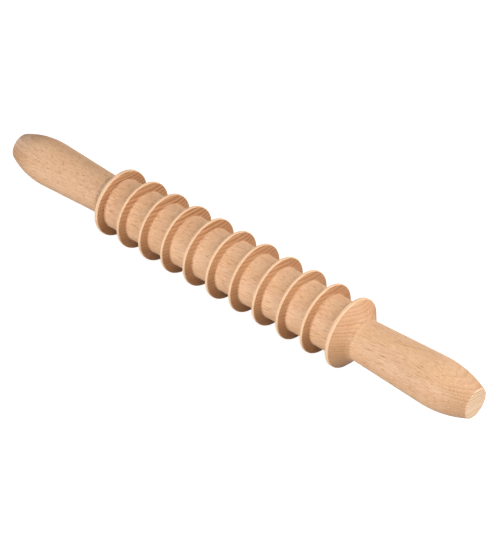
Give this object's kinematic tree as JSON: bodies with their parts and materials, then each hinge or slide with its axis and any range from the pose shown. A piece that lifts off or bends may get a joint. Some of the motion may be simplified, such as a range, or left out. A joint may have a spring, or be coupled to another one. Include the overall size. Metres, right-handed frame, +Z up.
{
  "type": "foot massage roller",
  "caption": "Wooden massage roller: a ringed drum that spins on an axle between two turned handles with flared guards.",
  "frame": {"origin": "centre of the massage drum, on its axle", "axes": "+X along the axle towards the right handle's end, +Z up, +Y level across the roller; the roller is turned about X, so any side may face up"},
  "size_m": [0.406, 0.0494, 0.0494],
  "materials": {
    "drum_beech": "satin",
    "handle_beech": "satin",
    "axle_steel": "satin",
    "bush_nylon": "matte",
    "washer_steel": "satin",
    "insert_brass": "satin"
  },
  "bodies": {
    "frame": {"left_handle": "handle_beech", "right_handle": "handle_beech", "axle_rod": "axle_steel", "left_thrust_washer": "washer_steel", "right_thrust_washer": "washer_steel", "left_threaded_insert": "insert_brass", "right_threaded_insert": "insert_brass"},
    "drum": {"massage_drum": "drum_beech", "left_bush": "bush_nylon", "right_bush": "bush_nylon"}
  },
  "joints": [
    {"name": "drum_spin", "type": "hinge", "parent": "frame", "child": "drum", "pos_m": [0, 0, 0], "axis": [1, 0, 0], "continuous": true}
  ]
}
